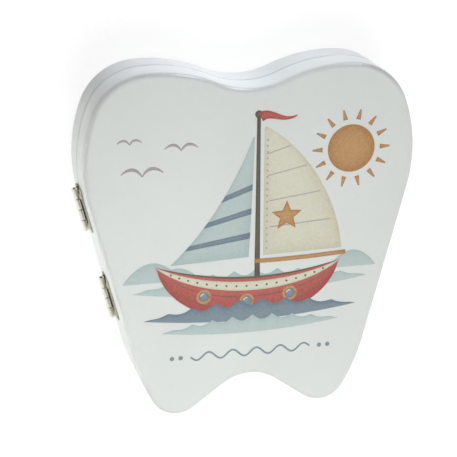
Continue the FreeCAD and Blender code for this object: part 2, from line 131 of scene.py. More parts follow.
def tooth_outline():
    """The closed outline, clockwise from the dip, and its outward normals.

    Where two arcs meet, both centres and the meeting point lie on one line, so the normal
    doesn't jump there. The middle of the height is y = 0.
    """
    lobe = np.array([LOBE_X, TOOTH_HEIGHT - LOBE_RADIUS])
    dip_rise = np.sqrt((LOBE_RADIUS + DIP_RADIUS) ** 2 - LOBE_X ** 2)
    dip = np.array([0, lobe[1] + dip_rise])
    corner = lobe + (LOBE_RADIUS - CORNER_RADIUS) * toward(CORNER_ANGLE)
    shoulder = corner - (SHOULDER_RADIUS - CORNER_RADIUS) * toward(SHOULDER_ANGLE)
    root = np.array([ROOT_X, ROOT_RADIUS])
    flare = root - (FLARE_RADIUS - ROOT_RADIUS) * toward(FLARE_ANGLE)
    reach = shoulder - flare
    flank = heading(reach) - np.arccos((FLARE_RADIUS - SHOULDER_RADIUS) / np.linalg.norm(reach))
    fork = np.array([0, FORK_HEIGHT - FORK_RADIUS])
    reach = fork - root
    slope = heading(reach) + np.arccos((ROOT_RADIUS + FORK_RADIUS) / np.linalg.norm(reach))
    slope -= 2 * np.pi * np.ceil((slope - FLARE_ANGLE) / (2 * np.pi))
    stretches = [
        arc(dip, DIP_RADIUS, -np.pi / 2, heading(lobe - dip), -1),
        arc(lobe, LOBE_RADIUS, heading(dip - lobe), CORNER_ANGLE),
        arc(corner, CORNER_RADIUS, CORNER_ANGLE, SHOULDER_ANGLE),
        arc(shoulder, SHOULDER_RADIUS, SHOULDER_ANGLE, flank),
        straight(shoulder + SHOULDER_RADIUS * toward(flank),
                 flare + FLARE_RADIUS * toward(flank), flank),
        arc(flare, FLARE_RADIUS, flank, FLARE_ANGLE),
        arc(root, ROOT_RADIUS, FLARE_ANGLE, slope),
        straight(root + ROOT_RADIUS * toward(slope), fork - FORK_RADIUS * toward(slope), slope),
        arc(fork, FORK_RADIUS, slope + np.pi, np.pi / 2, -1),
    ]
    points = np.vstack([stretch[0][:-1] for stretch in stretches] + [[[0, FORK_HEIGHT]]])
    normals = np.vstack([stretch[1][:-1] for stretch in stretches] + [[[0, -1]]])
    mirror = np.array([-1, 1])
    points = np.vstack([points, points[-2:0:-1] * mirror])
    normals = np.vstack([normals, normals[-2:0:-1] * mirror])
    return points - [0, TOOTH_HEIGHT / 2], normals


outline, outline_normals = tooth_outline()
print("outline:", len(outline), "points, half width", round(outline[:, 0].max() / MM, 3), "mm")

# %% [markdown]
# ## A mesh from arrays
#
# Blender takes a mesh as a list of points and a list of faces. A small class gathers both, so that
# a piece can be put together from grids, and keeps one number per point, its mark.
# The materials read the mark as an attribute: on a board it is high on the rounded edges, where it
# paints shade.
# A face with holes can't be a grid, so it is a Delaunay triangulation between its loops.
# The triangles in the holes are left out: from them, a line to the right crosses the loops an even
# number of times.

# %% A gatherer of points and faces
INSIDE, NEAREST = 1, 1e-9


def odd_crossings(spots, starts, ends):
    """Whether a line to the right of each spot crosses an odd number of edges.

    It crosses an edge that has one end above the spot and one below, and that passes on its right.
    """
    x, y = spots[:, None, 0], spots[:, None, 1]
    passes = (starts[:, 1] > y) != (ends[:, 1] > y)
    rise = np.where(starts[:, 1] == ends[:, 1], 1, ends[:, 1] - starts[:, 1])
    meets = starts[:, 0] + (y - starts[:, 1]) * (ends[:, 0] - starts[:, 0]) / rise
    return (passes & (meets > x)).sum(axis=1) % 2 == 1


class Shell:
    """The points, marks and faces of one closed piece."""

    def __init__(self):
        self.points = np.empty((0, 3))
        self.marks = np.empty(0)
        self.faces = []

    def add(self, points, mark=0.0):
        """Takes points (..., 3) with their marks and returns their numbers in the same layout."""
        layout = points.shape[:-1]
        numbers = len(self.points) + np.arange(int(np.prod(layout))).reshape(layout)
        self.points = np.vstack([self.points, points.reshape(-1, 3)])
        self.marks = np.concatenate([self.marks, np.broadcast_to(mark, layout).ravel()])
        return numbers

    def weave(self, grid, closed=True):
        """Quads between neighbours in a grid of numbers; closed joins the last column to the first."""
        if closed:
            grid = np.concatenate([grid, grid[:, :1]], axis=1)
        quads = np.stack([grid[:-1, :-1], grid[1:, :-1], grid[1:, 1:], grid[:-1, 1:]], axis=-1)
        self.faces += quads.reshape(-1, 4).tolist()

    def plate(self, *loops):
        """A flat face inside the first loop and outside the others, in triangles."""
        numbers = np.concatenate(loops)
        ends = np.cumsum([len(loop) for loop in loops])
        following = np.arange(1, len(numbers) + 1)
        following[ends - 1] = ends - [len(loop) for loop in loops]
        edges = np.stack([np.arange(len(numbers)), following], axis=-1).tolist()
        flat = self.points[numbers, :2]
        loop_points = [Vector(point) for point in flat]
        _, _, triangles, sources, _, _ = delaunay_2d_cdt(loop_points, edges, [], INSIDE, NEAREST)
        corners = np.array([[sources[corner][0] for corner in triangle] for triangle in triangles])
        kept = odd_crossings(flat[corners].mean(axis=1), flat, flat[following])
        self.faces += numbers[corners[kept]].tolist()


trial = Shell()
trial.plate(trial.add(np.pad(outline, ((0, 0), (0, 1)))))
print("triangles in a plain face of the tooth:", len(trial.faces))

# %% From a shell to a piece
MARK = "mark"
SHARP_ANGLE, WELD = np.radians(35), 0.0001 * MM


def set_marks(mesh, marks):
    """Stores one number per point as the attribute that the materials read."""
    mesh.attributes.new(MARK, "FLOAT", "POINT").data.foreach_set("value", marks.astype(np.float32))


def place_piece(name, mesh, body, material, replaces=()):
    """Shades a mesh smooth except at sharp edges and lets it ride on a body."""
    mesh.polygons.foreach_set("use_smooth", np.ones(len(mesh.polygons), bool))
    mesh.set_sharp_from_angle(angle=SHARP_ANGLE)
    mesh.materials.append(material)
    piece = bpy.data.objects.new(name, mesh)
    bpy.context.scene.collection.objects.link(piece)
    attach(piece, body)
    if replaces:
        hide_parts(*replaces)
    print(name, "on", body, len(mesh.vertices), "points", len(mesh.polygons), "faces")


def add_piece(name, shell, body, material, replaces=(), turned=False):
    """Makes the mesh, welds points that meet and turns its faces outwards.

    A shell whose faces are turned already keeps them as they are.
    """
    mesh = bpy.data.meshes.new(name)
    mesh.from_pydata(shell.points.tolist(), [], shell.faces)
    set_marks(mesh, shell.marks)
    work = bmesh.new()
    work.from_mesh(mesh)
    bmesh.ops.remove_doubles(work, verts=work.verts, dist=WELD)
    if not turned:
        bmesh.ops.recalc_face_normals(work, faces=work.faces)
    work.to_mesh(mesh)
    work.free()
    place_piece(name, mesh, body, material, replaces)


# %% [markdown]
# ## Materials from nodes
#
# Each finish is a Principled shader whose colour, roughness and bump come from noise in Object
# coordinates, which are metres here: a noise of scale 1000 has specks of about a millimetre.
# Small helpers keep the node code short. They add a node and set or link its sockets by name, mix two
# colours, join two numbers, or take a value from one range to another.
# Colours are written as the screen shows them, from 0 to 255.

# %% Nodes and sockets
def colour(red, green, blue):
    """A screen colour as the linear numbers that shaders use: a power of 2.4, straight near black."""
    screen = np.array([red, green, blue]) / 255
    linear = np.where(screen <= 0.04045, screen / 12.92, ((screen + 0.055) / 1.055) ** 2.4)
    return (*linear.tolist(), 1.0)


def put(tree, socket, value):
    """Links a socket to another one, or sets it to a value."""
    if isinstance(value, bpy.types.NodeSocket):
        tree.links.new(value, socket)
    else:
        socket.default_value = value


def set_sockets(tree, node, **values):
    """Puts values into a node's sockets by name; From_Min names the socket From Min."""
    for name, value in values.items():
        put(tree, node.inputs[name.replace("_", " ")], value)


def add_node(tree, kind, settings=None, **values):
    """A node with its settings and its sockets."""
    node = tree.nodes.new("ShaderNode" + kind)
    for field, value in (settings or {}).items():
        setattr(node, field, value)
    set_sockets(tree, node, **values)
    return node


def new_material(name, **values):
    """A material with its Principled shader, some of whose sockets are set."""
    material = bpy.data.materials.new(name)
    material.use_nodes = True
    shader = material.node_tree.nodes["Principled BSDF"]
    set_sockets(material.node_tree, shader, **values)
    return material, material.node_tree, shader


print("screen grey 188 is", round(colour(188, 188, 188)[0], 3), "in a shader")

# %% Patterns and marks
FACTOR, FIRST_COLOUR, SECOND_COLOUR, MIXED_COLOUR = 0, 6, 7, 2


def mix_colours(tree, factor, first, second):
    """Goes from the first colour to the second as the factor goes from 0 to 1."""
    node = add_node(tree, "Mix", {"data_type": "RGBA"})
    put(tree, node.inputs[FACTOR], factor)
    put(tree, node.inputs[FIRST_COLOUR], first)
    put(tree, node.inputs[SECOND_COLOUR], second)
    return node.outputs[MIXED_COLOUR]


def combine(tree, operation, first, second):
    """Two numbers joined by a Math node's operation."""
    node = add_node(tree, "Math", {"operation": operation})
    put(tree, node.inputs[0], first)
    put(tree, node.inputs[1], second)
    return node.outputs[0]


def noise(tree, scale, detail, roughness=0.55, stretch=None):
    """Noise in Object coordinates; stretch scales the three axes first."""
    where = add_node(tree, "TexCoord").outputs["Object"]
    if stretch:
        where = add_node(tree, "Mapping", Vector=where, Scale=stretch).outputs["Vector"]
    node = add_node(tree, "TexNoise", Vector=where, Scale=scale, Detail=detail, Roughness=roughness)
    return node.outputs["Fac"]


def spread(tree, value, low, high, start=0.3, end=0.7):
    """A value between start and end, taken to the range from low to high."""
    node = add_node(tree, "MapRange", Value=value, From_Min=start, From_Max=end, To_Min=low, To_Max=high)
    return node.outputs["Result"]


def read_mark(tree):
    """The mark that each point of the piece keeps."""
    return add_node(tree, "Attribute", {"attribute_name": MARK}).outputs["Fac"]


# %% [markdown]
# ## White lacquer
#
# The fibreboard is sealed and sprayed with a satin white that leans a little to green.
# Sprayed paint is never quite even: its tone varies over centimetres, and it has a fine orange peel of
# about a millimetre. The rounded edges are painted a greyer tone, which is painted shade; it is
# strongest along the crown, less at the roots and hardly at all on the flanks.
# A picture of paint could be wrapped round the boards, but noise in space has no seams.

# %% The lacquer material
LACQUER = colour(235, 240, 236)
LACQUER_UNEVEN = colour(230, 235, 232)
# The grey of the painted shade on the rounded edges.
LACQUER_SHADE_GREY = colour(180, 184, 181)
TONE_SCALE, PATCH_SCALE, SHEEN_SCALE, PEEL_SCALE = 28, 420, 900, 650
PATCHES, LACQUER_ROUGHNESS = (0.7, 1), (0.30, 0.40)
FINE_BUMP = {"Strength": 0.12, "Distance": 0.02 * MM}


def make_lacquer():
    """Satin white of an uneven tone, which greys with the mark: painted shade on the rounded edges."""
    material, tree, shader = new_material("white_lacquer", Specular_IOR_Level=0.5)
    uneven = spread(tree, noise(tree, TONE_SCALE, 2), 0, 1)
    sprayed = mix_colours(tree, uneven, LACQUER, LACQUER_UNEVEN)
    patchy = spread(tree, noise(tree, PATCH_SCALE, 4), *PATCHES)
    # Painted shade: the greyer tone on the rounded edges, broken up by patches of noise.
    painted_shade = combine(tree, "MULTIPLY", read_mark(tree), patchy)
    peel = add_node(tree, "Bump", Height=noise(tree, PEEL_SCALE, 2), **FINE_BUMP)
    set_sockets(tree, shader, Base_Color=mix_colours(tree, painted_shade, sprayed, LACQUER_SHADE_GREY),
                Roughness=spread(tree, noise(tree, SHEEN_SCALE, 2), *LACQUER_ROUGHNESS),
                Normal=peel.outputs["Normal"])
    return material


white_lacquer = make_lacquer()
print(white_lacquer.name, "has", len(white_lacquer.node_tree.nodes), "nodes")

# %% [markdown]
# ## The four boards
#
# Each half is a thick core and a slim outer skin, glued flush. A board is its edge profile carried along
# the outline: pairs of inset and height, with a quarter circle where the edge is rounded.
# A ring just inside each rounding keeps the flat faces flat when Blender smooths the shading.
# The pockets, the well and the magnets' seats are holes whose walls are profiles carried along
# circles, and the faces between them are triangulated plates.

# %% Profiles carried along a path
OUTER_ROUNDING, GUARD_RING = 1.8 * MM, 0.1 * MM
ARC_STEPS = 9


def rounded_corner(radius, level, up):
    """Inset and height along a quarter circle from the wall to a flat face; up is 1 or -1.

    The inset is radius (1 - cos t), and the height stays radius (1 - sin t) short of the level.
    """
    turn = np.linspace(0, np.pi / 2, ARC_STEPS)
    insets = np.append(radius * (1 - np.cos(turn)), radius + GUARD_RING)
    heights = np.append(level - up * radius * (1 - np.sin(turn)), level)
    return np.stack([insets, heights], axis=-1)


def sharp_corner(level):
    """A corner without a rounding: no inset, at that level."""
    return np.array([[0, level]])


def carry(path, normals, profile):
    """Grid of the profile carried along the path: path point minus inset times normal, at the height."""
    flat = path[None] - profile[:, None, :1] * normals[None]
    heights = np.broadcast_to(profile[:, None, 1:], flat.shape[:2] + (1,))
    return np.concatenate([flat, heights], axis=-1)


print("points in a rounded profile:", len(rounded_corner(OUTER_ROUNDING, 0, 1)))

# %% Painted shade on the edges
# The direction along the crown whose edges get the most painted shade, and the strengths on crown and
# roots.
SHADE_FACING_ANGLE, CROWN_SHADE, ROOT_SHADE = np.radians(67), 1.0, 0.6


def shade_on_rounding(profile):
    """The share of painted shade on a rounding: 4 c^2 (1 - c^2), where c = 1 - inset / radius.

    It is greatest half way round, and 0 on the wall and on the flat face.
    """
    inset = profile[:, 0]
    radius = max(inset.max() - GUARD_RING, GUARD_RING)
    level = np.clip(1 - inset / radius, 0, 1)
    return 4 * level ** 2 * (1 - level ** 2)


def shade_by_facing(normals):
    """How much painted shade an edge gets, from 0 to 1, by the direction that it faces.

    On the crown it is the cosine of the angle to the shade's direction, to the power of 4. On the roots
    it is the cosine of the angle to straight down, cubed. Each has its own strength.
    """
    crown = np.clip(normals @ toward(SHADE_FACING_ANGLE), 0, 1) ** 4
    root = np.clip(-normals[:, 1], 0, 1) ** 3
    return np.clip(CROWN_SHADE * crown + ROOT_SHADE * root, 0, 1)


def start_board(low_corner, high_corner):
    """The outer wall of a board, and the loops where its lower and upper faces begin."""
    shell = Shell()
    profile = np.vstack([low_corner[::-1], high_corner])
    marks = np.concatenate([shade_on_rounding(low_corner)[::-1], shade_on_rounding(high_corner)])
    wall = shell.add(carry(outline, outline_normals, profile), marks[:, None] * shade_by_facing(outline_normals))
    shell.weave(wall)
    return shell, wall[0], wall[-1]


print("mean painted-shade along the outline:", round(shade_by_facing(outline_normals).mean(), 3))


# %% The two skins
def levels(node):
    """The lowest and highest z of a solid."""
    low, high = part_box(node)
    return low.z, high.z


low, high = levels("back_panel")
skins = {"back_panel": ("base", rounded_corner(OUTER_ROUNDING, low, -1), sharp_corner(high))}
low, high = levels("lid_panel")
skins["lid_panel"] = ("lid", sharp_corner(low), rounded_corner(OUTER_ROUNDING, high, 1))
for node, (body, low_corner, high_corner) in skins.items():
    shell, low_loop, high_loop = start_board(low_corner, high_corner)
    shell.plate(low_loop)
    shell.plate(high_loop)
    add_piece(node + "_lacquered", shell, body, white_lacquer, [node])

# %% [markdown]
# The pocket board has twenty round pockets, one for each milk tooth, round a well for keepsakes.
# Their places are read from the openings that the frame's record states. The holes could be cut with
# a Boolean, but walls that are built from loops stay evenly spaced and take a rounded lip.
# The lid's core is flat and has only the seats of its two magnets.

# %% The places of the pockets
stated = frame["record"]["physics"]["openings"]
openings = {opening["name"]: np.array(opening["box_m"]) for opening in stated}
pocket_centres = np.array([box.mean(axis=0)[:2] for name, box in openings.items() if "pocket" in name])
well_middle = openings["keepsake_well"].mean(axis=0)[:2]
print("pockets:", len(pocket_centres), "middle of the well in mm:", (well_middle / MM).round(2))

# %% The walls of the holes
# The share of the edges' painted shade that the rounded lips of the holes get.
LIP_SHADE = 0.35
MAGNET_CLEARANCE = 0.05 * MM


def circle(centre, radius, count=48):
    """Points centre + radius (cos t, sin t) all the way round, with their normals."""
    ray = toward(np.linspace(0, 2 * np.pi, count, endpoint=False))
    return np.asarray(centre)[None] + radius * ray, ray


def stadium(centre, radius, end_x, count=56):
    """Two half circles of points about centre +- end_x, joined by straight sides, with their normals."""
    turn = np.linspace(-np.pi / 2, np.pi / 2, count)
    ray = np.vstack([toward(turn), toward(turn + np.pi)])
    shift = np.repeat([[end_x, 0.0], [-end_x, 0.0]], count, axis=0)
    return centre + shift + radius * ray, ray


def hole_wall(shell, path, normals, profile):
    """The wall of a hole: the profile carried with its insets going outwards; returns its end loops."""
    wall = shell.add(carry(path, -normals, profile), LIP_SHADE * shade_on_rounding(profile)[:, None])
    shell.weave(wall)
    return wall[0], wall[-1]


def seat(shell, magnet, face):
    """A blind hole for a magnet, open at the face; returns its mouth."""
    low, high = (np.array(corner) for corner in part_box(magnet))
    radius = (high[0] - low[0]) / 2 + MAGNET_CLEARANCE
    bottom = low[2] - MAGNET_CLEARANCE if face > high[2] else high[2] + MAGNET_CLEARANCE
    path, normals = circle((low + high)[:2] / 2, radius)
    mouth, floor = hole_wall(shell, path, normals, np.array([[0, face], [0, bottom]]))
    shell.plate(floor)
    return mouth


# %% The pocket board
SEAM_ROUNDING, POCKET_RADIUS, POCKET_LIP = 0.5 * MM, 4.5 * MM, 0.4 * MM
WELL_END_RADIUS, WELL_END_X = 23 * MM, 6 * MM
MAGNET_PLACES = ("upper", "lower")

low, high = levels("pocket_board")
shell, low_loop, high_loop = start_board(sharp_corner(low), rounded_corner(SEAM_ROUNDING, high, 1))
lip = np.vstack([rounded_corner(POCKET_LIP, high, 1)[::-1], [[0, low]]])
holes = [circle(centre, POCKET_RADIUS) for centre in pocket_centres]
holes.append(stadium(well_middle, WELL_END_RADIUS, WELL_END_X))
mouths, feet = zip(*[hole_wall(shell, path, normals, lip) for path, normals in holes])
seats = [seat(shell, f"{place}_base_magnet", high) for place in MAGNET_PLACES]
shell.plate(low_loop, *feet)
shell.plate(high_loop, *mouths, *seats)
add_piece("pocket_board_lacquered", shell, "base", white_lacquer, ["pocket_board"])

# %% The lid's core
low, high = levels("lid_core")
shell, low_loop, high_loop = start_board(rounded_corner(SEAM_ROUNDING, low, -1), sharp_corner(high))
seats = [seat(shell, f"{place}_lid_magnet", low) for place in MAGNET_PLACES]
shell.plate(low_loop, *seats)
shell.plate(high_loop)
add_piece("lid_core_lacquered", shell, "lid", white_lacquer, ["lid_core"])

# %% [markdown]
# ## Hinges, nails and magnets
#
# The leaves are stamped from slim plated sheet, rolled round a pin and nailed to the boards. Their
# solids have sharp edges, but real sheet metal is a little rounded there and catches the light. So a
# copy of each solid is welded, its flat parts become single faces and a bevel rounds its edges, while
# the solid itself stays as it is. The knuckles are painted paler, a painted highlight, the leaves are
# dull, and the crease between them is painted dark, a painted shade: the marks are 1 on the knuckles, 0
# on the leaves and between these values in the crease.

# %% Plated metals
METAL_RIM = (0.7, 0.68, 0.62, 1)
TARNISH_SCALE, LINE_SCALE = 700, 2500
# Where the painted shade of the crease and the painted highlight of the knuckles lie along the mark.
CREASE_SHADE_MARKS, KNUCKLE_HIGHLIGHT_MARKS = (0, 0.5), (0.8, 1.0)
SPECKS, SPECK_NOISE = (0, 0.45), (0.52, 0.72)
KNUCKLE_SPECKS = 0.3


def make_metal(name, bright, dull, dark, roughness, stretch):
    """Metal that goes from dull over dark to bright as its mark grows: the dark is painted shade in the
    crease, and the bright is a painted highlight on the knuckles.

    Tarnish lies on it in specks, fewer on the knuckles, and fine lines roughen it.
    """
    material, tree, shader = new_material(name, Metallic=1.0, Specular_Tint=METAL_RIM)
    mark = read_mark(tree)
    # Painted shade darkens the crease, and a painted highlight lightens the knuckles.
    crease_shaded = mix_colours(tree, spread(tree, mark, 0, 1, *CREASE_SHADE_MARKS), dull, dark)
    knuckle_lit = mix_colours(tree, spread(tree, mark, 0, 1, *KNUCKLE_HIGHLIGHT_MARKS), crease_shaded, bright)
    specks = spread(tree, noise(tree, TARNISH_SCALE, 5, 0.7), *SPECKS, *SPECK_NOISE)
    tarnish = combine(tree, "MULTIPLY", specks, spread(tree, mark, 1, KNUCKLE_SPECKS, 0, 1))
    lines = noise(tree, LINE_SCALE, 3, 0.6, stretch)
    bump = add_node(tree, "Bump", Height=lines, **FINE_BUMP)
    set_sockets(tree, shader, Base_Color=mix_colours(tree, tarnish, knuckle_lit, dark),
                Roughness=spread(tree, lines, *roughness), Normal=bump.outputs["Normal"])
    return material


# Each metal has its bright, dull and dark colours, its range of roughness and the stretch of its lines.
# The bright colour is a painted highlight on the knuckles; the dark one is painted shade in the crease
# and also the colour of the tarnish.
METALS = {
    "leaf": ("hinge_metal", colour(246, 244, 230), colour(200, 197, 180), colour(38, 34, 28),
             (0.30, 0.46), (1, 1, 0.08)),
    "pin": ("pin_metal", colour(112, 102, 88), colour(112, 102, 88), colour(60, 54, 46),
            (0.30, 0.45), (1, 1, 1)),
    "nail": ("nail_metal", colour(198, 194, 175), colour(196, 192, 173), colour(104, 98, 82),
             (0.25, 0.45), (1, 1, 1)),
    "magnet": ("magnet_plating", colour(214, 214, 212), colour(214, 214, 212), colour(180, 180, 182),
               (0.12, 0.24), (1, 1, 1)),
}
metals = {kind: make_metal(*values) for kind, values in METALS.items()}
print("metals:", ", ".join(metal.name for metal in metals.values()))

# %% Rounded copies
EDGE_BEVEL = {"leaf": 0.08 * MM, "pin": 0.05 * MM, "nail": 0.06 * MM, "magnet": 0.15 * MM}
BEVEL_STEPS, ROUND_BEVEL = 2, 0.5
FLAT_ANGLE, EDGE_ANGLE = np.radians(0.5), np.radians(32)
KNUCKLE_REACH, CREASE_REACH = 1.05 * MM, 2.3 * MM

behaviour = frame["record"]["behaviour"]
hinge_point, hinge_line = (np.array(behaviour["joints"][0][field]) for field in ("pos_m", "axis"))
body_of = {node: body for body, nodes in behaviour["bodies"].items() for node in nodes}


def rounded_copy(node, bevel):
    """A welded copy of a solid whose edges sharper than the edge angle are bevelled."""
    solid = frame["nodes"][node]
    mesh = solid.data.copy()
    mesh.transform(solid.matrix_world)
    mesh.materials.clear()
    work = bmesh.new()
    work.from_mesh(mesh)
    bmesh.ops.remove_doubles(work, verts=work.verts, dist=WELD)
    bmesh.ops.dissolve_limit(work, angle_limit=FLAT_ANGLE, verts=work.verts, edges=work.edges)
    edges = [edge for edge in work.edges if edge.is_manifold and edge.calc_face_angle() > EDGE_ANGLE]
    bmesh.ops.bevel(work, geom=edges, offset=bevel, segments=BEVEL_STEPS, profile=ROUND_BEVEL,
                    affect="EDGES", clamp_overlap=False)
    work.to_mesh(mesh)
    work.free()
    return mesh


def near_hinge(points):
    """1 on the knuckles, which lie close to the hinge line, falling through the crease to 0.

    It is (crease reach - distance) / (crease reach - knuckle reach), kept between 0 and 1.
    """
    distance = np.linalg.norm(np.cross(points - hinge_point, hinge_line), axis=-1)
    return np.clip((CREASE_REACH - distance) / (CREASE_REACH - KNUCKLE_REACH), 0, 1)


for node in frame["nodes"]:
    for kind in EDGE_BEVEL:
        if kind in node.split("_"):
            mesh = rounded_copy(node, EDGE_BEVEL[kind])
            points = np.empty((len(mesh.vertices), 3), np.float32)
            mesh.vertices.foreach_get("co", points.ravel())
            set_marks(mesh, near_hinge(points))
            place_piece(node + "_rounded", mesh, body_of[node], metals[kind], [node])

# %% [markdown]
# ## The printed picture
#
# The lid carries a picture printed straight on the lacquer: a sailing boat on a wavy sea, with a sun.
# Ink is only some hundredths of a millimetre thick. A picture file could be projected on the lid, but
# shapes drawn by formula stay sharp from close by. So each patch of ink is a closed sheet of that
# thickness that stands on the lid, and later colours reach a little higher than earlier ones.
# The marks grow towards the shaded rim of a patch. The ink breaks them up with fine noise, which
# looks like a dry brush.

# %% Inks
INKS = {
    "coral": (colour(197, 114, 105), colour(166, 84, 78)),
    "cream": (colour(229, 228, 209), colour(212, 207, 184)),
    "ochre": (colour(203, 162, 116), colour(178, 130, 82)),
    "sea": (colour(198, 213, 210), colour(178, 199, 197)),
    "denim": (colour(140, 156, 164), colour(112, 131, 146)),
    "mauve": (colour(186, 178, 175), colour(160, 148, 147)),
    "brown": (colour(118, 106, 97), colour(88, 78, 72)),
}
GRAIN_SCALE, MATT_SCALE = 1300, 2200
GRAIN, SHADED_MARKS, INK_ROUGHNESS = (-0.5, 0.5), (-0.1, 1.1), (0.42, 0.6)


def make_ink(name, plain, shaded):
    """Matt ink: the mark plus a grain of some tenths of a millimetre leads from plain to shaded."""
    material, tree, shader = new_material("ink_" + name, Specular_IOR_Level=0.35)
    grain = spread(tree, noise(tree, GRAIN_SCALE, 5, 0.75), *GRAIN)
    shade = spread(tree, combine(tree, "ADD", read_mark(tree), grain), 0, 1, *SHADED_MARKS)
    set_sockets(tree, shader, Base_Color=mix_colours(tree, shade, plain, shaded),
                Roughness=spread(tree, noise(tree, MATT_SCALE, 2), *INK_ROUGHNESS))
    return material


inks = {name: make_ink(name, *pair) for name, pair in INKS.items()}
print("inks:", ", ".join(inks))


# %% Flat grids in millimetres
def bezier(*corners, count=41):
    """A cubic curve: its four corners weighted by (1-t)^3, 3t(1-t)^2, 3t^2(1-t) and t^3."""
    t = np.linspace(0, 1, count)
    weights = np.stack([(1 - t) ** 3, 3 * t * (1 - t) ** 2, 3 * t ** 2 * (1 - t), t ** 3], axis=-1)
    return weights @ np.array(corners, float)


def between(first, second, rows=9):
    """Straight lines from each point of one edge to the same point of the other."""
    share = np.linspace(0, 1, rows)[:, None, None]
    return (1 - share) * first + share * second


def ribbon(path, width):
    """A strip along a path: its points moved half the width to both sides, square to the path."""
    along = np.gradient(path, axis=0)
    along /= np.linalg.norm(along, axis=1, keepdims=True)
    aside = along[:, ::-1] * [-1, 1] * np.reshape(width, (-1, 1)) / 2
    return between(path - aside, path + aside, 3)


def disc(centre, radius, inner=0.0, count=40):
    """Rings from the rim of a disc to its inner rim, or to its middle."""
    return between(circle(centre, radius, count)[0], circle(centre, inner, count)[0], 6)


def to_first(along, across):
    """Marks that grow towards the first edge, with the cube of the share."""
    return (1 - across) ** 3


def to_second(along, across):
    """Marks that grow towards the second edge, with the square of the share."""
    return across ** 2


def to_rims(along, across):
    """Marks that grow towards all edges: the 4th power across and the 8th power along."""
    return np.maximum((2 * across - 1) ** 4, (2 * along - 1) ** 8)


# %% Sheets of ink
INK_BASE, INK_STEP = 0.02 * MM, 0.012 * MM
PRINT_LEVEL = cad_high.z


def lay(shell, grid, layer, fade=None, closed=False):
    """A closed sheet, hundredths of a millimetre high, over a flat grid, whose height grows with its
    layer.

    Fade gives the marks from the shares along and across. Closed joins the grid's last column to its
    first. A grid whose steps down and over have a negative cross product is mirrored to face up.
    """
    down, over = np.diff(grid, axis=0)[:, :-1], np.diff(grid, axis=1)[:-1]
    if (down[..., 0] * over[..., 1] - down[..., 1] * over[..., 0]).sum() < 0:
        grid = grid[:, ::-1]
    rows, columns = grid.shape[:2]
    across, along = np.meshgrid(np.linspace(0, 1, rows), np.linspace(0, 1, columns), indexing="ij")
    mark = fade(along, across) if fade else 0.0
    heights = (PRINT_LEVEL + INK_BASE + INK_STEP * layer, PRINT_LEVEL)
    top, bottom = (shell.add(np.dstack([grid * MM, np.full((rows, columns), z)]), mark) for z in heights)
    shell.weave(top, closed)
    shell.weave(bottom[:, ::-1], closed)
    if closed:
        shell.weave(np.stack([bottom[0], top[0]]))
        if np.ptp(grid[-1], axis=0).max() > 0:
            shell.weave(np.stack([top[-1], bottom[-1]]))
    else:
        walk = [np.concatenate([face[0], face[1:, -1], face[-1, -2::-1], face[-2:0:-1, 0]])
                for face in (bottom, top)]
        shell.weave(np.stack(walk))


def print_piece(name, ink, *sheets):
    """One colour of one motif; each sheet is a grid, its layer, its fade and whether it is closed."""
    shell = Shell()
    for sheet in sheets:
        lay(shell, *sheet)
    add_piece("print_" + name, shell, "lid", inks[ink], turned=True)


print("the ink stands at", round(PRINT_LEVEL / MM, 2), "mm")

# %% [markdown]
# The sea is three long lenses of colour, one before the other, with low hills on the far shore.
# Each could be traced point by point, but a formula gives even crests: the absolute value of a sine
# has the sharp tips of small waves, and a parabola tapers the band to both ends.

# %% The sea and the far shore
SHORE_LEVEL = -11
# Each band has its ink and layer, then its middle, reach, depth, crest, length and shift in millimetres.
WAVES = {
    "back_waves": ("sea", 2, -14.5, 41, 7, 2.0, 7.5, 1.5),
    "middle_waves": ("denim", 8, -24.5, 37, 5.5, 2.2, 8.2, 4.0),
    "front_waves": ("sea", 9, -29.5, 31, 4.5, 2.0, 7.0, 0.5),
}


def hill(left, right, height):
    """A low hill over a straight foot: the shore's level + height times a sine to the power of 0.8."""
    x = np.linspace(left, right, 41)
    arch = SHORE_LEVEL + height * np.sin(np.pi * (x - left) / (right - left)) ** 0.8
    return between(np.stack([x, arch], axis=-1), np.stack([x, np.full_like(x, SHORE_LEVEL)], axis=-1))


def wave_band(middle, reach, depth, crest, length, shift):
    """A lens whose upper edge has crests: middle + taper (depth / 2 + crest (1 - |sin|)).

    Its lower edge is middle - taper depth / 2, and the taper is 1 - (x / reach)^2.
    """
    x = np.linspace(-reach, reach, 161)
    taper = 1 - (x / reach) ** 2
    upper = middle + taper * (depth / 2 + crest * (1 - np.abs(np.sin(np.pi * (x - shift) / length))))
    return between(np.stack([x, upper], axis=-1), np.stack([x, middle - taper * depth / 2], axis=-1))


print_piece("far_shore", "sea", (hill(-44, -24, 7), 0, to_first), (hill(-33, -18, 4.5), 1, to_first),
            (hill(27, 44, 6), 0, to_first))
for name, (ink, layer, *sizes) in WAVES.items():
    print_piece(name, ink, (wave_band(*sizes), layer, to_first))

# %% [markdown]
# The hull is a surface between two curves, its sheer and its keel. The stripe, the rail and the planks'
# joints could be drawn one by one, but as strips between two shares of the hull's depth they all follow
# its bend. The rivets and portholes are discs on such lines.

# %% The hull
STRIPE, RAIL, PLANK_JOINTS, JOINT_WIDTH = (0.12, 0.33), (0, 0.05), (0.47, 0.78), 0.02
RIVET_LINE, RIVET_RADIUS = 0.225, 0.38

sheer = bezier((-33, -5.5), (-14, -12.5), (10, -13.5), (31, -8))
keel = bezier((-32.5, -6.5), (-27, -32), (24, -34), (30.5, -9))


def hull_line(share):
    """The line at a share of the hull's depth: sheer + share (keel - sheer)."""
    return sheer + share * (keel - sheer)


def hull_strip(start, end, rows):
    """The part of the hull between two such lines."""
    return between(hull_line(start), hull_line(end), rows)


